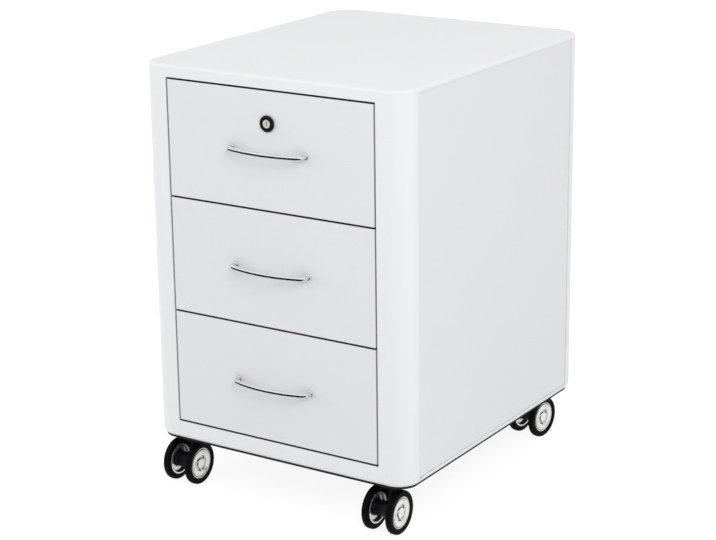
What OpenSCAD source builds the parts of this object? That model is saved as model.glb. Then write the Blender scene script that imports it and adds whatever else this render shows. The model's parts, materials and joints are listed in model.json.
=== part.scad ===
// Rolling pedestal: a round-edged sheet steel case with three drawers on telescopic runners,
// bow handles, a cam lock in the top drawer and four twin-wheel castors.
// Millimetres. +Z is up, the drawers open towards -Y, and Z = 0 is the floor.

/* [Case] */
// Width of the case
case_w = 400; // [380:1:480]
// Depth of the case, without the handles
case_d = 472; // [455:1:600]
// Height of the steel case, from the underside of the base frame to the top
case_h = 509; // [460:1:620]
// Outside radius of the two front upright corners
front_corner_r = 30; // [16:1:36]
// Outside radius of the two rear upright corners
rear_corner_r = 40; // [16:1:41]
// Width of the front and rear stiles, seen from the front
stile_w = 42; // [42:1:50]
// Depth of the fold that turns from each stile into the opening
jamb_d = 20; // [12:1:28]
// Height of the top rail, above the top drawer
top_rail_h = 16; // [12:1:30]
// Height of the bottom rail, under the bottom drawer
bottom_rail_h = 25; // [18:1:40]
// Radius of the top edge
top_edge_r = 4; // [2:0.5:8]
// Radius of the bottom edge
bottom_edge_r = 6; // [3:0.5:10]
// Thickness of the case's steel sheet
sheet_t = 1.2; // [0.8:0.1:1.8]
// Thickness of the dark base plate
base_plate_t = 3; // [2:0.5:5]
// Depth of the folded edges of the back panel
back_fold = 12; // [6:1:18]
// How far the side panels lie behind the faces of the corner posts
panel_inset = 1.2; // [0.4:0.1:2]
// Groove round each side panel
seam_gap = 0.5; // [0.3:0.1:1.5]
// Width of the flange that each corner post has behind a side panel
post_flange = 12; // [8:1:20]
// Width of each runner upright, front to back
upright_w = 30; // [20:1:50]

/* [Drawers] */
// Gap round each drawer front
front_gap = 2.5; // [1.5:0.1:4]
// Thickness of a drawer front
front_t = 18; // [14:1:22]
// Width of the folds at the back of a drawer front
front_fold = 15; // [8:1:30]
// Thickness of the drawers' steel sheet
tray_t = 1; // [0.7:0.1:1.5]
// Length of a drawer tray, front to back
tray_d = 400; // [300:5:410]
// Height of a tray's side walls
tray_h = 100; // [75:1:110]
// Height of a tray's underside above the lower edge of its front
tray_lift = 14; // [8:1:20]
// Width of the rolled rim along a tray's walls
rim_w = 5; // [3:0.5:8]
// Drop of that rim's outer edge
rim_drop = 4; // [2:0.5:8]

/* [Runners] */
// Height of the runners' outer channel
runner_h = 45; // [35:1:55]
// Width that a closed runner takes between case and tray
runner_w = 12.7; // [11:0.1:14]
// Length of each runner member
runner_l = 400; // [300:5:410]
// Thickness of the runners' steel
runner_t = 1.2; // [0.9:0.1:1.5]
// Sliding clearance between the runner members
runner_play = 0.3; // [0.2:0.05:0.6]
// Height of a runner above its tray's underside
runner_lift = 2; // [0:1:20]

/* [Handles] */
// Distance between a handle's screws
handle_pitch = 112; // [64:1:128]
// How far a handle stands out from the drawer front
handle_out = 23; // [21:1:40]
// Thickness of the handle bar, front to back
handle_t = 5.5; // [5:0.5:8]
// Height of the handle bar
handle_h = 5.5; // [5:0.5:8]
// Radius of the long bow
bow_r = 170; // [130:1:300]
// Radius of the bend at each end of the bow
bend_r = 8; // [6:0.5:12]
// Diameter of a handle's feet
foot_d = 8; // [6.5:0.5:16]
// Thickness of those feet
foot_l = 1.5; // [1:0.5:3]
// Diameter of the handle screws
handle_screw_d = 3; // [2.5:0.5:4]

/* [Lock] */
// Distance of the lock's centre below the top edge of its drawer front
lock_drop = 41; // [34:1:46]
// Diameter of the lock's rosette
rosette_d = 21; // [20.5:0.5:28]
// Thickness of the rosette
rosette_t = 2.5; // [1:0.5:4]
// Diameter of the lock's barrel
barrel_d = 19; // [16:0.5:20]
// Diameter of the turning plug
plug_d = 10.5; // [9:0.5:13]
// Thickness of the barrel's nut
lock_nut_t = 2.5; // [1.5:0.5:4]
// Reach of the cam from the plug's centre
cam_reach = 31; // [29:0.5:33]
// Width of the cam
cam_w = 12; // [10:0.5:16]
// Thickness of the cam
cam_t = 2; // [1.5:0.5:3]
// Width of the strike that the cam turns behind
strike_w = 24; // [16:1:40]
// Thickness of the strike
strike_t = 1.5; // [1:0.25:3]

/* [Castors] */
// Diameter of the wheels
wheel_d = 58; // [50:1:75]
// Radial height of the tyre
tyre_h = 7.5; // [5:0.5:10]
// Width of each tyre
tyre_w = 8.5; // [7.5:0.5:10]
// Width over the outer faces of the twin wheels
twin_w = 44; // [40:1:60]
// Distance of the axle behind the swivel
trail = 20.5; // [18:0.5:26]
// Distance of the swivels from the sides of the case
castor_inset_x = 41; // [36:1:80]
// Distance of the swivels from the front and back of the case
castor_inset_y = 39; // [36:1:80]
// Side of the square castor plate
plate_w = 46; // [44:1:56]
// Thickness of the castor plate
plate_t = 2.5; // [1.5:0.5:4]
// Diameter of the king pin
king_d = 10; // [8:0.5:12]
// Diameter of the axle
axle_d = 6; // [5:0.5:8]
// Diameter of the hub between the wheels
hub_d = 21; // [16:1:26]
// Thickness of the swivel head above the wheels
head_t = 3.9; // [2.5:0.1:6]
// Turn of the front left castor as it stands
turn_front_left = 0; // [-180:1:180]
// Turn of the front right castor as it stands
turn_front_right = 0; // [-180:1:180]
// Turn of the rear left castor as it stands
turn_rear_left = 6; // [-180:1:180]
// Turn of the rear right castor as it stands
turn_rear_right = -7; // [-180:1:180]

/* [Hidden] */
$fn = 64;

// Overshoot of a cut past the face that it opens
cut = 1;
// Running clearance of a pin or shaft in its bore, on the radius
pin_play = 0.05;
// Clearance of a screw in its hole, on the radius
hole_play = 0.2;
// Gap between neighbours that move past each other
move_gap = 0.5;

// Case: the handles count in the depth, so the case sits back by half of them
case_front = -(case_d + handle_out) / 2 + handle_out;
case_back = case_front + case_d;
wheel_gap = 0.8;
swivel_gap = 0.3;
plate_top = wheel_d + wheel_gap + head_t + swivel_gap + plate_t;
plate_low = plate_top - plate_t;
case_low = plate_top + base_plate_t;
case_top = case_low + case_h;
open_low = case_low + bottom_rail_h;
open_top = case_top - top_rail_h;
open_h = open_top - open_low;
open_x = case_w / 2 - stile_w;
front_corner_y = case_front + front_corner_r;
rear_corner_y = case_back - rear_corner_r;
panel_in_x = case_w / 2 - panel_inset - sheet_t;
flange_x = panel_in_x - sheet_t;
joggle_lap = sheet_t / 2;
joggle_w = panel_inset + sheet_t + joggle_lap;
upright_space = 3;

// Drawers, numbered from the top
drawer_count = 3;
front_h = (open_h - (drawer_count + 1) * front_gap) / drawer_count;
front_w = 2 * (open_x - front_gap);
front_back = case_front + front_t;
tray_w = 2 * (open_x - runner_w);
tray_wall_in = front_back + tray_t;
tray_wall_gap = 6;
runner_start = 1.8;

function front_low(k) = open_top - k * (front_h + front_gap);
function handle_z(k) = front_low(k) + front_h / 2;
function tray_low(k) = front_low(k) + tray_lift;
function runner_mid(k) = tray_low(k) + runner_lift + runner_h / 2;

// Handles: the long bow's arc ends at the angle sweep, where the end bends touch it
handle_mid = handle_out - handle_t / 2;
bend_x = handle_pitch / 2 - bend_r;
sweep = asin(bend_x / (bow_r - bend_r));
leg_l = handle_mid - bow_r + (bow_r - bend_r) * cos(sweep);
bow_steps = 24;
bend_steps = 8;
thread_stop = 0.4;
thread_l = leg_l - thread_stop;
screw_head_d = 6.5;
screw_head_h = 2.2;

// Lock
lock_z = front_low(1) + front_h - lock_drop;
strike_front = tray_wall_in + move_gap;
cam_front = strike_front + strike_t + move_gap;
cam_back = cam_front + cam_t;
strike_overlap = 8;
stub_d = 6;
cam_nut_d = 10;
cam_nut_t = 2;
lock_nut_d = 24;
plug_proud = 0.4;
key_w = 1.6;
key_h = 6.5;
key_depth = 14;

// Castors
wheel_r = wheel_d / 2;
rim_r = wheel_r - tyre_h;
tyre_round = 2.5;
face_x = twin_w / 2;
inner_x = face_x - tyre_w;
yoke_gap = 0.9;
yoke_x = inner_x - yoke_gap;
hub_gap = 0.3;
hood_t = 3;
hood_inset = 0.2;
hood_r = wheel_r - hood_inset;
hood_from = -25;
hood_to = 85;
web_w = 4;
web_lap = 1;
web_to = 70;
boss_d = 16;
head_d = 32;
king_rise = 19;
king_low = wheel_r + king_rise;
boss_lap = 2.5;
boss_low = king_low - boss_lap;
castor_screw_d = 4;
castor_screw_edge = 6.5;
castor_head_d = 7;
castor_head_h = 2;
axle_short = 2.3;
wheel_hub_r = 10;
cap_r = 7;
rim_t = 2.2;
rim_in = 1.2;
disc_in = 4.2;
disc_t = 1.8;
cap_sink = 1;

// 2D helpers
module rounded_square(size, r) {
    translate([r, 0]) square([size[0] - 2 * r, size[1]]);
    translate([0, r]) square([size[0], size[1] - 2 * r]);
    for (x = [r, size[0] - r], y = [r, size[1] - r]) translate([x, y]) circle(r);
}

// Outline of the case seen from above, drawn in from its outside by inset
module case_plan(inset = 0) {
    half = case_w / 2 - inset;
    fx = case_w / 2 - front_corner_r;
    rx = case_w / 2 - rear_corner_r;
    translate([-half, front_corner_y]) square([2 * half, rear_corner_y - front_corner_y]);
    translate([-fx, case_front + inset]) square([2 * fx, front_corner_r - inset]);
    translate([-rx, rear_corner_y]) square([2 * rx, rear_corner_r - inset]);
    for (s = [-1, 1]) {
        translate([s * fx, front_corner_y]) circle(front_corner_r - inset);
        translate([s * rx, rear_corner_y]) circle(rear_corner_r - inset);
    }
}

// Section of a folded pan from its middle (left) out to its wall, r from middle to outside.
// The wall lies step further in than the edge.
module pan_section(r, edge_r, h, step = 0) {
    square([r - edge_r, sheet_t]);
    translate([r - edge_r, edge_r]) intersection() {
        difference() {
            circle(edge_r);
            circle(edge_r - sheet_t);
        }
        translate([0, -edge_r]) square(edge_r);
    }
    translate([r - step - sheet_t, edge_r]) square([step + sheet_t, sheet_t]);
    translate([r - step - sheet_t, edge_r]) square([sheet_t, h - edge_r]);
}

// A quarter turn of the pan's section round one upright corner
module pan_corner(x, y, start, r, edge_r, h) {
    translate([x, y, 0]) rotate([0, 0, start])
        rotate_extrude(angle = 90) pan_section(r, edge_r, h);
}

// A straight run of the pan's section, of length l, whose wall faces -Y and which starts at x = 0
module pan_run(l, r, edge_r, h, step = 0) {
    rotate([90, 0, 90]) linear_extrude(height = l) mirror([1, 0]) pan_section(r, edge_r, h, step);
}

// A sheet steel pan with the outline of the case, its face at Z = 0 and its walls up to h. The side
// walls step in, so that the side panels lap over them.
module case_pan(edge_r, h) {
    fx = case_w / 2 - front_corner_r;
    rx = case_w / 2 - rear_corner_r;
    fy = front_corner_y;
    ry = rear_corner_y;
    step = panel_inset + sheet_t;
    translate([-fx, fy, 0]) cube([2 * fx, ry - fy, sheet_t]);
    translate([-fx, fy, 0]) pan_run(2 * fx, front_corner_r, edge_r, h);
    translate([rx, ry, 0]) rotate([0, 0, 180]) pan_run(2 * rx, rear_corner_r, edge_r, h);
    translate([fx, fy, 0]) rotate([0, 0, 90]) pan_run(ry - fy, front_corner_r, edge_r, h, step);
    translate([-fx, ry, 0]) rotate([0, 0, 270]) pan_run(ry - fy, front_corner_r, edge_r, h, step);
    pan_corner(fx, fy, 270, front_corner_r, edge_r, h);
    pan_corner(-fx, fy, 180, front_corner_r, edge_r, h);
    pan_corner(rx, ry, 0, rear_corner_r, edge_r, h);
    pan_corner(-rx, ry, 90, rear_corner_r, edge_r, h);
    for (s = [0, 1], y = [fy - sheet_t, ry]) mirror([s, 0, 0])
        translate([flange_x, y, edge_r]) cube([joggle_w, sheet_t, h - edge_r]);
}

// Case
module top_panel() {
    color("white") {
        translate([0, 0, case_top]) mirror([0, 0, 1]) case_pan(top_edge_r, top_rail_h);
        // fold under the top rail, which carries the strike
        translate([-open_x, case_front + sheet_t, open_top])
            cube([2 * open_x, strike_front - case_front - sheet_t, sheet_t]);
    }
}

module base_frame() {
    color("white") {
        translate([0, 0, case_low]) case_pan(bottom_edge_r, bottom_rail_h);
        // fold along the top of the bottom rail
        translate([-open_x, case_front + sheet_t, open_low - sheet_t])
            cube([2 * open_x, jamb_d - sheet_t, sheet_t]);
    }
}

module base_plate() {
    color("dimgray") translate([0, 0, plate_top]) difference() {
        linear_extrude(height = base_plate_t) case_plan(bottom_edge_r);
        at_castors() at_plate_screws() translate([0, 0, -cut])
            cylinder(d = castor_screw_d + 2 * hole_play, h = base_plate_t + 2 * cut);
    }
}

// Right corner posts: stile, fold into the opening, quarter round and flange behind the panel
module corner_post(y_low, r, fold_y, joggle_y, flange_y) {
    color("white") translate([0, 0, open_low]) linear_extrude(height = open_h) {
        intersection() {
            difference() {
                case_plan(0);
                case_plan(sheet_t);
            }
            translate([open_x, y_low]) square([stile_w, r]);
        }
        translate([open_x, fold_y]) square([sheet_t, jamb_d]);
        translate([flange_x, joggle_y]) square([joggle_w, sheet_t]);
        translate([flange_x, flange_y]) square([sheet_t, post_flange]);
    }
}

module front_posts() {
    y = front_corner_y - sheet_t;
    for (s = [0, 1]) mirror([s, 0, 0]) corner_post(case_front, front_corner_r, case_front, y, y);
}

module rear_posts() {
    y = rear_corner_y;
    for (s = [0, 1]) mirror([s, 0, 0])
        corner_post(y, rear_corner_r, case_back - jamb_d, y, y + sheet_t - post_flange);
}

// Right side panel, with a groove to the posts and to the edges of both pans
module side_panel() {
    y = front_corner_y + seam_gap;
    z = case_low + bottom_edge_r + sheet_t + seam_gap;
    color("gainsboro") translate([panel_in_x, y, z])
        cube([sheet_t, rear_corner_y - seam_gap - y, case_top - top_edge_r - sheet_t - seam_gap - z]);
}

module back_panel() {
    color("white") translate([-open_x, case_back - back_fold, open_low]) difference() {
        cube([2 * open_x, back_fold, open_h]);
        translate([sheet_t, -cut, sheet_t])
            cube([2 * (open_x - sheet_t), back_fold - sheet_t + cut, open_h - 2 * sheet_t]);
    }
}

// Two channels on each side, between the side panel and the runners
module runner_uprights() {
    ys = [
        front_corner_y - sheet_t + post_flange + upright_space,
        rear_corner_y + sheet_t - post_flange - upright_space - upright_w
    ];
    w = panel_in_x - open_x;
    color("white") for (s = [0, 1], y = ys) mirror([s, 0, 0]) translate([open_x, y, open_low])
        difference() {
            cube([w, upright_w, open_h]);
            translate([sheet_t, sheet_t, -cut]) cube([w, upright_w - 2 * sheet_t, open_h + 2 * cut]);
        }
}

// Angle welded on the fold of the top rail: the cam turns up behind it
module lock_strike() {
    leg = 12;
    low = lock_z + cam_reach - strike_overlap;
    color("silver") {
        translate([-strike_w / 2, strike_front, low])
            cube([strike_w, strike_t, open_top + sheet_t + strike_t - low]);
        translate([-strike_w / 2, strike_front - leg, open_top + sheet_t])
            cube([strike_w, leg, strike_t]);
    }
}

// Runners: three channels that nest in each other, drawn for the right side
module channel(web_x, web_dir, open_to, h) {
    y = tray_wall_in + runner_start;
    flange_w = abs(open_to - web_x);
    translate([min(web_x, web_x + web_dir * runner_t), y, -h / 2]) cube([runner_t, runner_l, h]);
    for (z = [-h / 2, h / 2 - runner_t])
        translate([min(web_x, open_to), y, z]) cube([flange_w, runner_l, runner_t]);
}
middle_h = runner_h - 2 * (runner_t + runner_play);
drawer_member_h = middle_h - 2 * (runner_t + runner_play);
tray_side = open_x - runner_w;
flange_in = tray_side + runner_t + runner_play;
middle_web = open_x - runner_t - runner_play;

module case_runners() {
    color("silver") for (s = [0, 1], k = [1 : drawer_count]) mirror([s, 0, 0])
        translate([0, 0, runner_mid(k)]) channel(open_x, -1, flange_in, runner_h);
}

module middle_runners(k) {
    color("silver") for (s = [0, 1]) mirror([s, 0, 0]) translate([0, 0, runner_mid(k)])
        channel(middle_web, -1, flange_in, middle_h);
}

module drawer_runners(k) {
    color("silver") for (s = [0, 1]) mirror([s, 0, 0]) translate([0, 0, runner_mid(k)])
        channel(tray_side, 1, middle_web - runner_t - runner_play, drawer_member_h);
}

// Drawers
module at_handle_screws(k) {
    for (s = [-1, 1]) translate([s * handle_pitch / 2, 0, handle_z(k)]) children();
}

// Holes through a drawer's front sheet and tray wall, drawn along Y through both
module front_holes(k) {
    at_handle_screws(k) translate([0, case_front - cut, 0]) rotate([-90, 0, 0])
        cylinder(d = handle_screw_d + 2 * hole_play, h = front_t + tray_t + 2 * cut);
    if (k == 1) translate([0, case_front - cut, lock_z]) rotate([-90, 0, 0])
        cylinder(d = barrel_d + 2 * pin_play, h = front_t + tray_t + 2 * cut);
}

module drawer_front(k) {
    w = front_w / 2;
    color("white") difference() {
        translate([-w, case_front, front_low(k)]) cube([front_w, front_t, front_h]);
        translate([sheet_t - w, case_front + sheet_t, front_low(k) + sheet_t])
            cube([front_w - 2 * sheet_t, front_t - 2 * sheet_t, front_h - 2 * sheet_t]);
        translate([front_fold - w, case_front + sheet_t, front_low(k) + front_fold])
            cube([front_w - 2 * front_fold, front_t, front_h - 2 * front_fold]);
        front_holes(k);
    }
}

module drawer_tray(k) {
    w = tray_w / 2;
    low = tray_low(k);
    wall_h = front_low(k) + front_h - tray_wall_gap - low;
    back = front_back + tray_d;
    color("gainsboro") difference() {
        union() {
            difference() {
                translate([-w, front_back, low]) cube([tray_w, tray_d, tray_h]);
                translate([tray_t - w, tray_wall_in, low + tray_t])
                    cube([tray_w - 2 * tray_t, tray_d - 2 * tray_t, tray_h]);
            }
            translate([-w, front_back, low]) cube([tray_w, tray_t, wall_h]);
            // rolled rim on the sides and the back
            for (s = [0, 1]) mirror([s, 0, 0]) {
                translate([w, tray_wall_in + rim_w, low + tray_h - tray_t])
                    cube([rim_w, back - tray_wall_in, tray_t]);
                translate([w + rim_w - tray_t, tray_wall_in + rim_w, low + tray_h - rim_drop])
                    cube([tray_t, back - tray_wall_in, rim_drop]);
            }
            translate([-w, back, low + tray_h - tray_t]) cube([tray_w, rim_w, tray_t]);
            translate([-w - rim_w, back + rim_w - tray_t, low + tray_h - rim_drop])
                cube([tray_w + 2 * rim_w, tray_t, rim_drop]);
        }
        front_holes(k);
    }
}

// Point at angle a on an arc
function arc_point(centre, r, a) = centre + r * [cos(a), sin(a)];

// One edge of the handle's bar, grow outside its centre line, from the left foot to the right one:
// X along the front, Y out from it
function bar_edge(grow) = concat(
    [[-handle_pitch / 2 - grow, 0]],
    [for (i = [0 : bend_steps])
        arc_point([-bend_x, leg_l], bend_r + grow, 180 - i * (90 - sweep) / bend_steps)],
    [for (i = [1 : bow_steps - 1])
        arc_point([0, handle_mid - bow_r], bow_r + grow, 90 + sweep * (1 - 2 * i / bow_steps))],
    [for (i = [0 : bend_steps])
        arc_point([bend_x, leg_l], bend_r + grow, (90 - sweep) * (1 - i / bend_steps))],
    [[handle_pitch / 2 + grow, 0]]
);

function reversed(points) = [for (i = [len(points) - 1 : -1 : 0]) points[i]];

// Bow handle: a long bow between two tight bends, on two straight legs with thin round feet
module handle(k) {
    color("silver") translate([0, case_front, handle_z(k)]) mirror([0, 1, 0]) difference() {
        union() {
            translate([0, 0, -handle_h / 2]) linear_extrude(height = handle_h)
                polygon(concat(bar_edge(handle_t / 2), reversed(bar_edge(-handle_t / 2))));
            for (s = [-1, 1]) translate([s * handle_pitch / 2, 0, 0]) rotate([-90, 0, 0])
                cylinder(d = foot_d, h = foot_l);
        }
        for (s = [-1, 1]) translate([s * handle_pitch / 2, -cut, 0]) rotate([-90, 0, 0])
            cylinder(d = handle_screw_d + 2 * pin_play, h = thread_l + cut);
    }
}

module handle_screws(k) {
    shank_l = tray_wall_in - case_front + thread_l - hole_play;
    color("silver") at_handle_screws(k) translate([0, tray_wall_in, 0]) {
        rotate([90, 0, 0]) cylinder(d = handle_screw_d, h = shank_l);
        rotate([-90, 0, 0]) cylinder(d = screw_head_d, h = screw_head_h);
    }
}

// Lock
module lock_barrel() {
    color([0.1, 0.1, 0.1]) translate([0, case_front, lock_z]) rotate([-90, 0, 0]) difference() {
        union() {
            translate([0, 0, -rosette_t]) cylinder(d = rosette_d, h = rosette_t);
            cylinder(d = barrel_d, h = tray_wall_in + lock_nut_t - case_front);
        }
        translate([0, 0, -rosette_t - cut])
            cylinder(d = plug_d + 2 * pin_play, h = case_d);
    }
}

module lock_nut() {
    color("silver") translate([0, tray_wall_in, lock_z]) rotate([-90, 0, 0]) difference() {
        cylinder(d = lock_nut_d, h = lock_nut_t, $fn = 6);
        translate([0, 0, -cut]) cylinder(d = barrel_d + 2 * pin_play, h = lock_nut_t + 2 * cut);
    }
}

module lock_plug() {
    front = -rosette_t - plug_proud;
    color("silver") translate([0, case_front, lock_z]) rotate([-90, 0, 0]) difference() {
        union() {
            translate([0, 0, front]) cylinder(d = plug_d, h = cam_front - case_front - front);
            cylinder(d = stub_d, h = cam_back + cam_nut_t - case_front);
        }
        translate([-key_w / 2, -key_h / 2, front - cut]) cube([key_w, key_h, key_depth + cut]);
    }
}

module lock_cam() {
    color("silver") translate([0, cam_front, lock_z]) rotate([-90, 0, 0]) difference() {
        union() {
            cylinder(d = cam_w, h = cam_t);
            translate([0, -cam_w / 2, 0]) cube([cam_reach, cam_w, cam_t]);
        }
        translate([0, 0, -cut]) cylinder(d = stub_d + 2 * pin_play, h = cam_t + 2 * cut);
    }
}

module cam_nut() {
    color("silver") translate([0, cam_back, lock_z]) rotate([-90, 0, 0]) difference() {
        cylinder(d = cam_nut_d, h = cam_nut_t, $fn = 6);
        translate([0, 0, -cut]) cylinder(d = stub_d + 2 * pin_play, h = cam_nut_t + 2 * cut);
    }
}

// Castors: side is -1 on the left and 1 on the right, row is -1 at the front and 1 at the rear
module castor_at(side, row, turn = 0) {
    x = side * (case_w / 2 - castor_inset_x);
    y = row < 0 ? case_front + castor_inset_y : case_back - castor_inset_y;
    translate([x, y, 0]) rotate([0, 0, turn]) children();
}

module at_castors() {
    for (side = [-1, 1], row = [-1, 1]) castor_at(side, row) children();
}

module at_plate_screws() {
    p = plate_w / 2 - castor_screw_edge;
    for (x = [-p, p], y = [-p, p]) translate([x, y, 0]) children();
}

// Flat plates under the base plate, each with its king pin
module castor_plates() {
    color("dimgray") at_castors() {
        translate([0, 0, plate_low]) difference() {
            translate([-plate_w / 2, -plate_w / 2, 0])
                linear_extrude(height = plate_t) rounded_square([plate_w, plate_w], castor_screw_edge);
            at_plate_screws() translate([0, 0, -cut])
                cylinder(d = castor_screw_d + 2 * hole_play, h = plate_t + 2 * cut);
        }
        translate([0, 0, king_low]) cylinder(d = king_d, h = plate_low - king_low);
    }
}

module castor_screws() {
    color("silver") at_castors() at_plate_screws() {
        translate([0, 0, plate_low]) cylinder(d = castor_screw_d, h = plate_t + base_plate_t);
        translate([0, 0, plate_low - castor_head_h]) cylinder(d = castor_head_d, h = castor_head_h);
    }
}

// Nylon body between the wheels: hub, hood over the gap, web, boss and swivel head
module castor_yoke(side, row, turn) {
    color([0.1, 0.1, 0.1]) castor_at(side, row, turn) difference() {
        union() {
            translate([0, -trail, wheel_r]) rotate([0, 90, 0])
                cylinder(d = hub_d, h = 2 * yoke_x, center = true);
            hood_part(hood_r - hood_t, hood_r, hood_from, hood_to, 2 * yoke_x);
            hood_part(hub_d / 2 - web_lap, hood_r - hood_t / 2, hood_from, web_to, web_w);
            translate([0, 0, boss_low]) cylinder(d = boss_d, h = wheel_d + wheel_gap - boss_low + head_t / 2);
            translate([0, 0, wheel_d + wheel_gap]) cylinder(d = head_d, h = head_t);
        }
        translate([0, -trail, wheel_r]) rotate([0, 90, 0])
            cylinder(d = axle_d + 2 * pin_play, h = twin_w, center = true);
        translate([0, 0, king_low - move_gap])
            cylinder(d = king_d + 2 * pin_play, h = wheel_d);
    }
}

// Ring sector round the axle, angles counted up from the horizontal that points at the swivel
module hood_part(r_in, r_out, from, to, w) {
    translate([w / 2, -trail, wheel_r]) rotate([0, 0, 90]) rotate([90, 0, 0])
        rotate([0, 0, from]) rotate_extrude(angle = to - from)
            translate([r_in, -w]) square([r_out - r_in, w]);
}

module axle(side, row, turn) {
    color("silver") castor_at(side, row, turn) translate([0, -trail, wheel_r]) rotate([0, 90, 0])
        cylinder(d = axle_d, h = twin_w - 2 * axle_short, center = true);
}

// Twin wheels: hand is -1 for the left wheel of the pair and 1 for the right one
module wheel_place(side, row, turn, hand) {
    castor_at(side, row, turn) translate([0, -trail, wheel_r]) rotate([0, hand * 90, 0]) children();
}

// Dished disc, its outside towards +Z: hub, thin web, and a rim that carries the tyre
module wheel(side, row, turn, hand) {
    hub_low = yoke_x + hub_gap;
    color("whitesmoke") wheel_place(side, row, turn, hand) difference() {
        rotate_extrude() {
            translate([0, hub_low]) square([wheel_hub_r, inner_x + disc_in - hub_low]);
            translate([0, inner_x + disc_in]) square([rim_r - rim_t / 2, disc_t]);
            translate([0, inner_x + disc_in]) square([cap_r, face_x - cap_sink - inner_x - disc_in]);
            translate([rim_r - rim_t, inner_x]) square([rim_t, tyre_w - rim_in]);
        }
        cylinder(r = axle_d / 2 + pin_play, h = face_x - axle_short + move_gap);
    }
}

module tyre(side, row, turn, hand) {
    color([0.08, 0.08, 0.08]) wheel_place(side, row, turn, hand) rotate_extrude()
        translate([rim_r + pin_play, inner_x]) {
            square([tyre_h - pin_play - tyre_round, tyre_w]);
            translate([0, tyre_round]) square([tyre_h - pin_play, tyre_w - 2 * tyre_round]);
            for (z = [tyre_round, tyre_w - tyre_round])
                translate([tyre_h - pin_play - tyre_round, z]) circle(tyre_round);
        }
}

top_panel();
front_posts();
rear_posts();
mirror([1, 0, 0]) side_panel();  // left_side_panel
side_panel();  // right_side_panel
back_panel();
base_frame();
base_plate();
runner_uprights();
lock_strike();
case_runners();
middle_runners(1);  // middle_runners_1
middle_runners(2);  // middle_runners_2
middle_runners(3);  // middle_runners_3
drawer_runners(1);  // drawer_runners_1
drawer_runners(2);  // drawer_runners_2
drawer_runners(3);  // drawer_runners_3
drawer_front(1);  // drawer_front_1
drawer_front(2);  // drawer_front_2
drawer_front(3);  // drawer_front_3
drawer_tray(1);  // drawer_tray_1
drawer_tray(2);  // drawer_tray_2
drawer_tray(3);  // drawer_tray_3
handle(1);  // handle_1
handle(2);  // handle_2
handle(3);  // handle_3
handle_screws(1);  // handle_screws_1
handle_screws(2);  // handle_screws_2
handle_screws(3);  // handle_screws_3
lock_barrel();
lock_nut();
lock_plug();
lock_cam();
cam_nut();
castor_plates();
castor_screws();
castor_yoke(-1, -1, turn_front_left);  // castor_yoke_front_left
castor_yoke(1, -1, turn_front_right);  // castor_yoke_front_right
castor_yoke(-1, 1, turn_rear_left);  // castor_yoke_rear_left
castor_yoke(1, 1, turn_rear_right);  // castor_yoke_rear_right
axle(-1, -1, turn_front_left);  // axle_front_left
axle(1, -1, turn_front_right);  // axle_front_right
axle(-1, 1, turn_rear_left);  // axle_rear_left
axle(1, 1, turn_rear_right);  // axle_rear_right
wheel(-1, -1, turn_front_left, -1);  // wheel_front_left_l
wheel(-1, -1, turn_front_left, 1);  // wheel_front_left_r
wheel(1, -1, turn_front_right, -1);  // wheel_front_right_l
wheel(1, -1, turn_front_right, 1);  // wheel_front_right_r
wheel(-1, 1, turn_rear_left, -1);  // wheel_rear_left_l
wheel(-1, 1, turn_rear_left, 1);  // wheel_rear_left_r
wheel(1, 1, turn_rear_right, -1);  // wheel_rear_right_l
wheel(1, 1, turn_rear_right, 1);  // wheel_rear_right_r
tyre(-1, -1, turn_front_left, -1);  // tyre_front_left_l
tyre(-1, -1, turn_front_left, 1);  // tyre_front_left_r
tyre(1, -1, turn_front_right, -1);  // tyre_front_right_l
tyre(1, -1, turn_front_right, 1);  // tyre_front_right_r
tyre(-1, 1, turn_rear_left, -1);  // tyre_rear_left_l
tyre(-1, 1, turn_rear_left, 1);  // tyre_rear_left_r
tyre(1, 1, turn_rear_right, -1);  // tyre_rear_right_l
tyre(1, 1, turn_rear_right, 1);  // tyre_rear_right_r
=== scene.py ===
"""White steel pedestal: three drawers, a lock, bow handles and twin-wheel castors."""
import json
import math

import bmesh
import bpy
from mathutils import Matrix, Vector


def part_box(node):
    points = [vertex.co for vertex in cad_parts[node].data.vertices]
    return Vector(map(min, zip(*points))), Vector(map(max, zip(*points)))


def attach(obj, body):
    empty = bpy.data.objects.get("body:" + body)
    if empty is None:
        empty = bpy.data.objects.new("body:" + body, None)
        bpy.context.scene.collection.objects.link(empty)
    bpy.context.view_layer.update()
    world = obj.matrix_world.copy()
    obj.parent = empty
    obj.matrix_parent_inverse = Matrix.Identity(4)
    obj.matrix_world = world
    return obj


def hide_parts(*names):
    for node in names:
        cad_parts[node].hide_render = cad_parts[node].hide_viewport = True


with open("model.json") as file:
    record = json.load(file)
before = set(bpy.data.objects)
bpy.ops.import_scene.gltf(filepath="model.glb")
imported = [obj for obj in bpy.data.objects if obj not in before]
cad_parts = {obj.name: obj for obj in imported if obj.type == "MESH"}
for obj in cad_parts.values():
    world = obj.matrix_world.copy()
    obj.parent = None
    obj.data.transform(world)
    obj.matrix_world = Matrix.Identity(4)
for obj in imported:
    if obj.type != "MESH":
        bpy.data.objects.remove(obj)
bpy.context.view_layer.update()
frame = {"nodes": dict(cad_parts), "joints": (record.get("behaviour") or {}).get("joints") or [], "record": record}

MM = 0.001
NODES = frame["nodes"]
SLOT_OF = {s["node"]: s["material_slot"] for s in frame["record"]["subparts"]}
SPINS = [j for j in frame["joints"] if j["name"].endswith("_spin")]


# Materials

def new_material(name):
    """A material with an empty tree that holds a Principled shader, and its tools."""
    mat = bpy.data.materials.new(name)
    mat.use_nodes = True
    tree = mat.node_tree
    return mat, tree, tree.nodes["Principled BSDF"]


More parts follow.
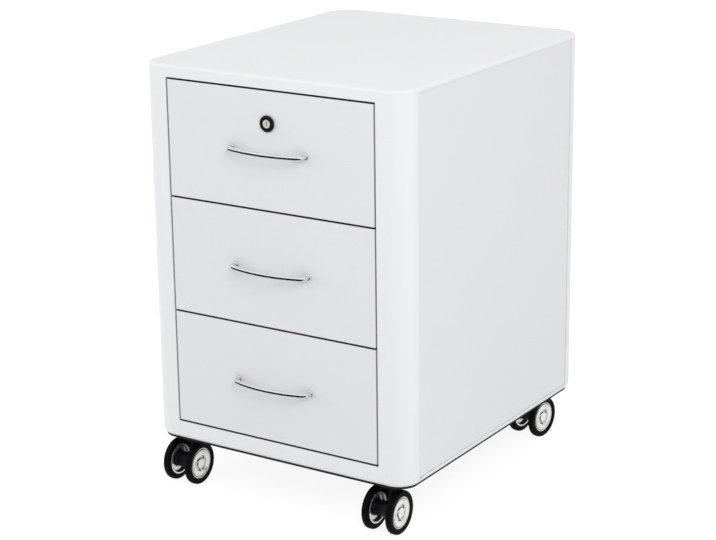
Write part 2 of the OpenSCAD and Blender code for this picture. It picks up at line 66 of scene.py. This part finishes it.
def add(tree, kind, **settings):
    """A shader node of that kind, its properties and unlinked inputs set by name."""
    node = tree.nodes.new(kind)
    for key, value in settings.items():
        if hasattr(node, key):
            setattr(node, key, value)
        else:
            node.inputs[key.replace("_", " ")].default_value = value
    return node


def object_coords(tree, stretch=(1, 1, 1)):
    """Object coordinates, stretched along each axis."""
    coords = add(tree, "ShaderNodeTexCoord")
    mapping = add(tree, "ShaderNodeMapping")
    mapping.inputs["Scale"].default_value = stretch
    tree.links.new(coords.outputs["Object"], mapping.inputs["Vector"])
    return mapping.outputs["Vector"]


def noise(tree, coords, scale, detail=3.0, rough=0.5):
    """A noise texture's value."""
    node = add(tree, "ShaderNodeTexNoise", Scale=scale, Detail=detail, Roughness=rough)
    tree.links.new(coords, node.inputs["Vector"])
    return node.outputs["Fac"]


def spread(tree, value, low, high, start=0.0, end=1.0):
    """A value that goes from start to end, spread over low to high."""
    settings = {"From_Min": start, "From_Max": end, "To_Min": low, "To_Max": high}
    node = add(tree, "ShaderNodeMapRange", **settings)
    tree.links.new(value, node.inputs["Value"])
    return node.outputs["Result"]


def times(tree, one, other):
    """The product of two values."""
    node = add(tree, "ShaderNodeMath", operation="MULTIPLY")
    tree.links.new(one, node.inputs[0])
    tree.links.new(other, node.inputs[1])
    return node.outputs["Value"]


def along(tree, vector, axis):
    """A vector's X, Y or Z."""
    node = add(tree, "ShaderNodeSeparateXYZ")
    tree.links.new(vector, node.inputs["Vector"])
    return node.outputs[axis]


def tint(tree, value, dark, light):
    """A colour between dark and light."""
    node = add(tree, "ShaderNodeMix", data_type="RGBA")
    node.inputs[6].default_value = (*dark, 1)
    node.inputs[7].default_value = (*light, 1)
    tree.links.new(value, node.inputs["Factor"])
    return node.outputs[2]


def bump(tree, shader, height, depth, strength=1.0):
    """Bumps the shader by a height value, depth metres for a whole step."""
    node = add(tree, "ShaderNodeBump", Strength=strength, Distance=depth)
    tree.links.new(height, node.inputs["Height"])
    tree.links.new(node.outputs["Normal"], shader.inputs["Normal"])


def shade(colour, factor):
    """A colour, darker or lighter by a factor."""
    return tuple(c * factor for c in colour)


# Painted shade in gaps and grooves: its colour, how far it looks for what hides the sky, and where in y the
# front's gaps begin

PAINTED_SHADE = (0.02, 0.02, 0.021)
GAP_REACH = 0.016
GAP_GAIN = 1.3
GAP_START_Y = -0.18
GAP_FULL_Y = -0.2
WALL_SHADE = 0.3
GROOVE_REACH = 0.004


def hidden(tree, reach, gain=1.0):
    """0 in the open, and towards 1 or more where surfaces within reach hide the sky."""
    sky = add(tree, "ShaderNodeAmbientOcclusion", Distance=reach)
    return spread(tree, sky.outputs["AO"], gain, 0)


def gap_shade(tree):
    """How much painted shade the front's gaps get: most on the upward faces deep in them, and none elsewhere."""
    normal = add(tree, "ShaderNodeNewGeometry").outputs["Normal"]
    upward = spread(tree, along(tree, normal, "Z"), WALL_SHADE, 1)
    y = along(tree, object_coords(tree), "Y")
    front = spread(tree, y, 0, 1, start=GAP_START_Y, end=GAP_FULL_Y)
    return times(tree, hidden(tree, GAP_REACH, GAP_GAIN), times(tree, upward, front))


def with_painted_shade(tree, colour, amount):
    """A colour darkened towards the painted shade's colour by an amount."""
    node = add(tree, "ShaderNodeMix", data_type="RGBA")
    node.inputs[7].default_value = (*PAINTED_SHADE, 1)
    tree.links.new(colour, node.inputs[6])
    tree.links.new(amount, node.inputs["Factor"])
    return node.outputs[2]


def enamel(name, colour, roughness):
    """Satin powder coat: fine orange peel, a slow drift of tone and gloss, and painted shade in the front's gaps.
    """
    mat, tree, shader = new_material(name)
    coords = object_coords(tree)
    drift = noise(tree, coords, scale=7, detail=2)
    peel = noise(tree, coords, scale=420, detail=3, rough=0.6)
    tone = tint(tree, drift, shade(colour, 0.985), colour)
    # painted shade: ambient occlusion darkens the base colour in the front's gaps
    tree.links.new(with_painted_shade(tree, tone, gap_shade(tree)), shader.inputs["Base Color"])
    tree.links.new(spread(tree, peel, roughness - 0.05, roughness + 0.05), shader.inputs["Roughness"])
    bump(tree, shader, peel, depth=0.06 * MM)
    return mat


def zinc(name, colour, roughness):
    """Zinc plate: soft crystals and fine rolling lines along the sheet."""
    mat, tree, shader = new_material(name)
    coords = object_coords(tree)
    cells = add(tree, "ShaderNodeTexVoronoi", Scale=240.0)
    tree.links.new(coords, cells.inputs["Vector"])
    lines = noise(tree, object_coords(tree, stretch=(1, 0.03, 1)), scale=2600, detail=2)
    tone = tint(tree, cells.outputs["Distance"], shade(colour, 0.86), colour)
    tree.links.new(tone, shader.inputs["Base Color"])
    tree.links.new(spread(tree, lines, roughness - 0.1, roughness + 0.12), shader.inputs["Roughness"])
    shader.inputs["Metallic"].default_value = 1
    bump(tree, shader, lines, depth=0.02 * MM)
    return mat


def plated(name, colour, roughness, metallic=1.0, dust_and_groove_shade=0.0):
    """Polished plating or silver lacquer with faint polishing marks, and painted shade in its grooves."""
    mat, tree, shader = new_material(name)
    marks = noise(tree, object_coords(tree, stretch=(0.2, 1, 1)), scale=1500, detail=2)
    stains = noise(tree, object_coords(tree), scale=60, detail=3)
    tone = tint(tree, stains, shade(colour, 0.93), colour)
    # painted shade: ambient occlusion darkens the base colour in the grooves
    tree.links.new(with_painted_shade(tree, tone, hidden(tree, GROOVE_REACH, dust_and_groove_shade)), shader.inputs["Base Color"])
    tree.links.new(spread(tree, marks, roughness * 0.7, roughness * 1.3), shader.inputs["Roughness"])
    shader.inputs["Metallic"].default_value = metallic
    bump(tree, shader, marks, depth=0.006 * MM)
    return mat


def moulded(name, colour, roughness, grain, depth, gloss=0.5):
    """Black moulded plastic, paint or rubber: a grain of that scale and depth, and dusty patches."""
    mat, tree, shader = new_material(name)
    coords = object_coords(tree)
    bumps = noise(tree, coords, scale=grain, detail=4, rough=0.65)
    dust_and_groove_shade = noise(tree, coords, scale=45, detail=4, rough=0.6)
    tree.links.new(tint(tree, dust_and_groove_shade, colour, shade(colour, 1.9)), shader.inputs["Base Color"])
    tree.links.new(spread(tree, bumps, roughness - 0.08, roughness + 0.1), shader.inputs["Roughness"])
    shader.inputs["Specular IOR Level"].default_value = gloss
    bump(tree, shader, bumps, depth=depth)
    return mat


FRAME_WHITE = (0.83, 0.835, 0.845)
PANEL_WHITE = (0.775, 0.78, 0.795)
TRAY_GREY = (0.62, 0.63, 0.645)
BASE_BLACK = (0.012, 0.012, 0.013)
LOCK_BLACK = (0.004, 0.004, 0.005)
CASTOR_BLACK = (0.003, 0.003, 0.004)
TYRE_BLACK = (0.0015, 0.0015, 0.0015)
ZINC_GREY = (0.60, 0.61, 0.63)
DARK_ZINC = (0.30, 0.31, 0.32)
CHROME = (0.80, 0.805, 0.81)
LOCK_SILVER = (0.88, 0.87, 0.82)
WHEEL_SILVER = (0.82, 0.82, 0.81)

FINISHES = {
    "case_enamel": (enamel, FRAME_WHITE, dict(roughness=0.42)),
    "panel_enamel": (enamel, PANEL_WHITE, dict(roughness=0.42)),
    "tray_enamel": (enamel, TRAY_GREY, dict(roughness=0.5)),
    "base_black": (moulded, BASE_BLACK, dict(roughness=0.55, grain=900, depth=0.05 * MM, gloss=0.1)),
    "zinc_steel": (zinc, ZINC_GREY, dict(roughness=0.34)),
    "handle_chrome": (plated, CHROME, dict(roughness=0.16)),
    "lock_black": (moulded, LOCK_BLACK, dict(roughness=0.25, grain=1400, depth=0.01 * MM)),
    "lock_steel": (plated, LOCK_SILVER, dict(roughness=0.35, metallic=0.4)),
    "castor_nylon": (moulded, CASTOR_BLACK, dict(roughness=0.42, grain=1100, depth=0.03 * MM, gloss=0.2)),
    "castor_plate_steel": (zinc, DARK_ZINC, dict(roughness=0.4)),
    # the wheel covers' last setting is how strongly painted shade darkens their grooves
    "wheel_chrome": (plated, WHEEL_SILVER, dict(roughness=0.22, metallic=0.8, dust_and_groove_shade=2.2)),
    "tyre_rubber": (moulded, TYRE_BLACK, dict(roughness=0.6, grain=1300, depth=0.04 * MM, gloss=0.06)),
}
MATERIALS = {slot: make(slot, colour, **look) for slot, (make, colour, look) in FINISHES.items()}

for name, obj in NODES.items():
    obj.data.materials.clear()
    obj.data.materials.append(MATERIALS[SLOT_OF[name]])


# Camera: the photograph's, found by fitting the case's edges

LENS_MM = 100.23
SENSOR_MM = 36
CAMERA_AT = Vector((1.4089, -2.1901, 1.0620))
CAMERA_YAW = math.radians(33.03)
CAMERA_PITCH = math.radians(16.92)
CAMERA_ROLL = math.radians(-0.73)


def make_camera():
    """The camera, turned left from +Y by yaw, down by pitch and rolled."""
    forward = Vector((
        -math.sin(CAMERA_YAW) * math.cos(CAMERA_PITCH),
        math.cos(CAMERA_YAW) * math.cos(CAMERA_PITCH),
        -math.sin(CAMERA_PITCH),
    ))
    level = Vector((math.cos(CAMERA_YAW), math.sin(CAMERA_YAW), 0))
    above = level.cross(forward)
    right = level * math.cos(CAMERA_ROLL) + above * math.sin(CAMERA_ROLL)
    up = above * math.cos(CAMERA_ROLL) - level * math.sin(CAMERA_ROLL)
    data = bpy.data.cameras.new("camera")
    data.sensor_fit = "HORIZONTAL"
    data.sensor_width = SENSOR_MM
    data.lens = LENS_MM
    data.clip_end = 60
    camera = bpy.data.objects.new("camera", data)
    bpy.context.scene.collection.objects.link(camera)
    turned = Matrix((right, up, -forward)).transposed().to_4x4()
    camera.matrix_world = Matrix.Translation(CAMERA_AT) @ turned
    bpy.context.scene.camera = camera


make_camera()


# Light, floor and background

LAMPS_FACE = Vector((0, -0.2, 0.4))


def strip_light(name, start, end, width, power):
    """A strip lamp from start to end. It lights things, but doesn't show in their gloss."""
    start, end = Vector(start), Vector(end)
    middle = (start + end) / 2
    back = (middle - LAMPS_FACE).normalized()
    line = (end - start).normalized()
    data = bpy.data.lights.new(name, "AREA")
    data.shape = "RECTANGLE"
    data.size, data.size_y = width, (end - start).length
    data.energy = power
    lamp = bpy.data.objects.new(name, data)
    bpy.context.scene.collection.objects.link(lamp)
    turned = Matrix((line.cross(back), line, back)).transposed().to_4x4()
    lamp.matrix_world = Matrix.Translation(middle) @ turned
    lamp.visible_glossy = False


def seen_directly(tree):
    """1 for rays from the camera, a mirror or a pane, and 0 for the light that falls on things."""
    path = add(tree, "ShaderNodeLightPath")
    value = path.outputs["Is Camera Ray"]
    for ray in ("Is Glossy Ray", "Is Transmission Ray"):
        either = add(tree, "ShaderNodeMath", operation="MAXIMUM")
        tree.links.new(value, either.inputs[0])
        tree.links.new(path.outputs[ray], either.inputs[1])
        value = either.outputs["Value"]
    return value


WORLD_LIGHT = 0.81


def make_world():
    """A white backdrop that lights the object more gently than it looks."""
    world = bpy.data.worlds.new("studio")
    world.use_nodes = True
    bpy.context.scene.world = world
    tree = world.node_tree
    light = tree.nodes["Background"]
    light.inputs["Color"].default_value = (1, 1, 1, 1)
    light.inputs["Strength"].default_value = WORLD_LIGHT
    backdrop = add(tree, "ShaderNodeBackground")
    backdrop.inputs["Color"].default_value = (1, 1, 1, 1)
    mix = add(tree, "ShaderNodeMixShader")
    tree.links.new(seen_directly(tree), mix.inputs["Fac"])
    tree.links.new(light.outputs["Background"], mix.inputs[1])
    tree.links.new(backdrop.outputs["Background"], mix.inputs[2])
    tree.links.new(mix.outputs["Shader"], tree.nodes["World Output"].inputs["Surface"])


FLOOR_SIZE = 30
FLOOR_WHITE = 0.82
FLOOR_GLOW = 0.89
FLOOR_SHADOW = 0.21

CARD_AT = (-1.2, -2.3, 0.01)
CARD_SIZE = (5.6, 4)
CARD_BLACK = 0.01


def make_floor():
    """A pale floor that looks white and still takes the object's shadow."""
    bpy.ops.mesh.primitive_plane_add(size=FLOOR_SIZE)
    floor = bpy.context.object
    floor.name = "floor"
    mat, tree, shader = new_material("floor")
    shader.inputs["Base Color"].default_value = (FLOOR_WHITE, FLOOR_WHITE, FLOOR_WHITE, 1)
    shader.inputs["Roughness"].default_value = 0.9
    shown = add(tree, "ShaderNodeBsdfDiffuse")
    shown.inputs["Color"].default_value = (FLOOR_SHADOW, FLOOR_SHADOW, FLOOR_SHADOW, 1)
    glow = add(tree, "ShaderNodeEmission", Strength=FLOOR_GLOW)
    both = add(tree, "ShaderNodeAddShader")
    mix = add(tree, "ShaderNodeMixShader")
    tree.links.new(shown.outputs["BSDF"], both.inputs[0])
    tree.links.new(glow.outputs["Emission"], both.inputs[1])
    tree.links.new(seen_directly(tree), mix.inputs["Fac"])
    tree.links.new(shader.outputs["BSDF"], mix.inputs[1])
    tree.links.new(both.outputs["Shader"], mix.inputs[2])
    tree.links.new(mix.outputs["Shader"], tree.nodes["Material Output"].inputs["Surface"])
    floor.data.materials.append(mat)


def make_dark_card():
    """A dark card on the floor before the drawers, which shows in gloss only: it shades the handles."""
    bpy.ops.mesh.primitive_plane_add(size=1, location=CARD_AT)
    card = bpy.context.object
    card.name = "dark_card"
    card.scale = (*CARD_SIZE, 1)
    mat, _, shader = new_material("dark_card")
    shader.inputs["Base Color"].default_value = (CARD_BLACK, CARD_BLACK, CARD_BLACK, 1)
    shader.inputs["Specular IOR Level"].default_value = 0
    card.data.materials.append(mat)
    card.visible_camera = False
    card.visible_diffuse = False
    card.visible_shadow = False
    card.visible_transmission = False


make_world()
make_floor()
make_dark_card()
strip_light("key", start=(1.67, -2.4, 1.64), end=(1.8, -1.47, 2.47), width=0.3, power=23)
strip_light("left", start=(-3.1, -0.6, 0.6), end=(-2.75, -1.65, 0.6), width=0.8, power=20)
strip_light("right", start=(3.0, -0.5, 0.9), end=(3.0, 0.9, 0.9), width=1, power=3)
bpy.context.scene.view_settings.view_transform = "Standard"


# Pieces drawn here: their points are in millimetres, and a matrix sets them in the model

def skin(name, rings, looped=False):
    """A smooth mesh through rings of points: capped at both ends, or joined end to end."""
    mesh = bpy.data.meshes.new(name)
    form = bmesh.new()
    loops = [[form.verts.new(point) for point in ring] for ring in rings]
    steps = len(rings[0])
    for one, other in zip(loops, loops[1:] + loops[:1] * looped):
        for i in range(steps):
            j = (i + 1) % steps
            form.faces.new((one[i], other[i], other[j], one[j]))
    if not looped:
        form.faces.new(loops[0])
        form.faces.new(loops[-1])
    bmesh.ops.recalc_face_normals(form, faces=form.faces)
    form.to_mesh(mesh)
    form.free()
    for face in mesh.polygons:
        face.use_smooth = True
    return mesh


def new_piece(name, mesh, matrix, body, slot):
    """A piece set in the model, which rides on a body and takes a slot's finish."""
    mesh.transform(matrix)
    obj = bpy.data.objects.new(name, mesh)
    bpy.context.scene.collection.objects.link(obj)
    mesh.materials.append(MATERIALS[slot])
    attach(obj, body)
    return obj


def turn_angles(steps):
    """The angles of a full turn in equal steps."""
    return [2 * math.pi * i / steps for i in range(steps)]


# Edge strip: round the base plate, tucked under the rounded lower edge of the case

FRONT_CORNER_R = 30
REAR_CORNER_R = 40
CORNER_STEPS = 24
# inset from the case's plan, and depth under the case
STRIP_PROFILE = ((5.98, 0.05), (5.98, 2.9), (4.3, 2.9), (4, 2.6), (4, -0.2), (5, -0.02))


def strip_ring(inset, depth):
    """A round-cornered loop, inset from the case's plan, at a depth under the case."""
    low, high = (Vector(corner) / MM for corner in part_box("base_frame"))
    corners = (
        (high.x, high.y, REAR_CORNER_R), (low.x, high.y, REAR_CORNER_R),
        (low.x, low.y, FRONT_CORNER_R), (high.x, low.y, FRONT_CORNER_R),
    )
    ring = []
    for quarter, (x, y, r) in enumerate(corners):
        for step in range(CORNER_STEPS + 1):
            a = math.pi / 2 * (quarter + step / CORNER_STEPS)
            out_x = x - math.copysign(r, x) + (r - inset) * math.cos(a)
            out_y = y - math.copysign(r, y) + (r - inset) * math.sin(a)
            ring.append((out_x, out_y, low.z - depth))
    return ring


strip = skin("base_edge_strip", [strip_ring(*point) for point in STRIP_PROFILE], looped=True)
new_piece("base_edge_strip", strip, Matrix.Scale(MM, 4), "case", "base_black")


# Handles: a bow of soft-cornered bar on two small round feet, in the place of the CAD's sharp bar

HANDLE_PITCH = 112
HANDLE_OUT = 23
BAR_R = 2.75
BOW_R = 170
BEND_R = 8
# distance out of the front, and radius
FOOT_PROFILE = ((0, 3.9), (0.15, 4), (1.1, 4), (1.35, 3.9), (1.5, 3.6), (1.55, 2.95), (1.8, BAR_R))
BEND_STEPS = 12
BOW_STEPS = 40
BAR_SIDES = 36
SQUARENESS = 0.72


def section(a, r, squareness):
    """A point of a bar's section at an angle: round at squareness 1, squarer below."""
    across, up = math.cos(a), math.sin(a)
    return (
        math.copysign(r * abs(across) ** squareness, across),
        math.copysign(r * abs(up) ** squareness, up),
    )


def handle_rings():
    """Rings of points from foot to foot: x across, y out of the front, z up."""
    mid = HANDLE_OUT - BAR_R
    bend_x = HANDLE_PITCH / 2 - BEND_R
    sweep = math.asin(bend_x / (BOW_R - BEND_R))
    leg = mid - BOW_R + (BOW_R - BEND_R) * math.cos(sweep)
    bend = math.pi / 2 - sweep

    def bow(x, y, r, angle):
        return (x + r * math.cos(angle), y + r * math.sin(angle), angle, BAR_R)

    left = [(-HANDLE_PITCH / 2, y, math.pi, r) for y, r in FOOT_PROFILE]
    left += [bow(-bend_x, leg, BEND_R, math.pi - bend * i / BEND_STEPS) for i in range(BEND_STEPS + 1)]
    right = [(-x, y, math.pi - angle, r) for x, y, angle, r in reversed(left)]
    arch = [
        bow(0, mid - BOW_R, BOW_R, math.pi / 2 + sweep * (1 - 2 * i / BOW_STEPS))
        for i in range(1, BOW_STEPS)
    ]
    rings = []
    for x, y, angle, r in left + arch + right:
        squareness = SQUARENESS if r == BAR_R else 1
        spots = [section(a, r, squareness) for a in turn_angles(BAR_SIDES)]
        rings.append([(x + out * math.cos(angle), y + out * math.sin(angle), up) for out, up in spots])
    return rings


def front_matrix(node):
    """Sets points drawn round the middle of a node's back face, y out of the front, into the model."""
    low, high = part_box(node)
    at = ((low[0] + high[0]) / 2, high[1], (low[2] + high[2]) / 2)
    return Matrix.Translation(at) @ Matrix.Diagonal((MM, -MM, MM, 1))


for k in (1, 2, 3):
    bar = skin(f"bow_handle_{k}", handle_rings())
    handle = new_piece(f"bow_handle_{k}", bar, front_matrix(f"handle_{k}"), f"drawer_{k}", "handle_chrome")
    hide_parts(f"handle_{k}")


# Wheels: a moulded cover over each disc and a dark guard round each inner hub

# radii, and heights above the tyre's middle
COVER_RADII = [0.4 * i for i in range(1, 47)] + [18.8, 19, 19.1]
COVER_BACK = 1.8
COVER_STEPS = 144
GROOVE_FLOOR = 1.9
CAP_R = 6.6
CAP_TOP = 3.9
CAP_DOME = 0.01
FIELD_R = 10.6
FIELD_TOP = 3.1
SHOULDER = 0.5
BEAD_R = 18.2
BEAD_HALF_W = 0.9
BEAD_RISE = 0.7
VANES = 3
VANE_IN = 5
VANE_OUT = 17
VANE_FADE = (1.08, 0.95)
VANE_TWIST = math.radians(80)
VANE_HALF_W = 1.5
VANE_TOP = 3.8

# radii, and points of radius and height above the tyre's middle
GUARD_IN_R = 10.03
GUARD_R = 10.6
GUARD_LIP_R = 11.1
GUARD_PROFILE = (
    (GUARD_IN_R, -4.9), (GUARD_R - 0.15, -4.9), (GUARD_R, -4.7), (GUARD_R, -1.3),
    (GUARD_LIP_R, -0.6), (GUARD_LIP_R, -0.1), (GUARD_IN_R, -0.1),
)
GUARD_STEPS = 64


def step_up(low, high, value):
    """0 on low's side, 1 past high, and smooth between."""
    t = min(max((value - low) / (high - low), 0), 1)
    return t * t * (3 - 2 * t)


def cover_height(r, angle):
    """A domed cap, a groove round it, a field with a rolled rim, and vanes that bridge the groove."""
    field = GROOVE_FLOOR + (FIELD_TOP - GROOVE_FLOOR) * step_up(FIELD_R - SHOULDER, FIELD_R + SHOULDER, r)
    field += BEAD_RISE * (1 - min(abs(r - BEAD_R) / BEAD_HALF_W, 1) ** 2)
    out = (r - VANE_IN) / (VANE_OUT - VANE_IN)
    for start in turn_angles(VANES):
        off = (angle - start - VANE_TWIST * out + math.pi) % (2 * math.pi) - math.pi
        side = step_up(VANE_HALF_W + SHOULDER, VANE_HALF_W - SHOULDER, abs(off) * r)
        field += max(VANE_TOP - field, 0) * side * step_up(*VANE_FADE, out)
    cap = CAP_TOP - CAP_DOME * r * r
    return field + (cap - field) * step_up(CAP_R + SHOULDER, CAP_R - SHOULDER, r)


def cover_rings():
    """Rings of the cover's face, from the middle to the rim, and of its flat back."""
    spots = [[(r, a, cover_height(r, a)) for a in turn_angles(COVER_STEPS)] for r in COVER_RADII]
    spots.append([(r, a, COVER_BACK) for r, a, _ in spots[-1]])
    return [[(r * math.cos(a), r * math.sin(a), z) for r, a, z in ring] for ring in spots]


def guard_rings():
    """Rings of a thin sleeve round the inner hub, with a small lip at the dish."""
    return [
        [(r * math.cos(a), r * math.sin(a), z) for a in turn_angles(GUARD_STEPS)] for r, z in GUARD_PROFILE
    ]


def wheel_matrix(spin):
    """Sets points drawn round a wheel's axis, z outwards from the tyre's middle, into the model."""
    axis = Vector(spin["axis"])
    outward = axis if spin["name"].endswith("_r_spin") else -axis
    across = Vector((0, 0, 1)).cross(outward)
    place = Matrix((across, outward.cross(across), outward)).transposed().to_4x4()
    return Matrix.Translation(spin["pos_m"]) @ place @ Matrix.Scale(MM, 4)


for spin in SPINS:
    wheel = spin["child"]
    cover = skin(wheel + "_cover", cover_rings())
    new_piece(wheel + "_cover", cover, wheel_matrix(spin), wheel, "wheel_chrome")
    guard = skin(wheel + "_guard", guard_rings(), looped=True)
    new_piece(wheel + "_guard", guard, wheel_matrix(spin), wheel, "castor_nylon")


# Softened edges of the carried-over pieces

# how wide the edges are rounded, by the start of the nodes' names
SOFT_EDGES = {
    "drawer_front_": 1.2,
    "lock_barrel": 0.8,
    "castor_yoke_": 0.7,
    "castor_plates": 0.4,
    "tyre_": 0.4,
    "wheel_": 0.4,
}
WELD_DISTANCE = 0.01
FLAT_ANGLE = math.radians(0.5)
SHARP_ANGLE = math.radians(35)
BEVEL_STEPS = 3


def soften(obj, width):
    """Rounds a CAD node's sharp edges by width, in millimetres."""
    weld = obj.modifiers.new("weld", "WELD")
    weld.merge_threshold = WELD_DISTANCE * MM
    flats = obj.modifiers.new("flats", "DECIMATE")
    flats.decimate_type = "DISSOLVE"
    flats.angle_limit = FLAT_ANGLE
    bevel = obj.modifiers.new("bevel", "BEVEL")
    bevel.width = width * MM
    bevel.segments = BEVEL_STEPS
    bevel.limit_method = "ANGLE"
    bevel.angle_limit = SHARP_ANGLE
    normals = obj.modifiers.new("normals", "WEIGHTED_NORMAL")
    normals.mode = "FACE_AREA"


for name, obj in NODES.items():
    for start, width in SOFT_EDGES.items():
        if name.startswith(start):
            soften(obj, width)
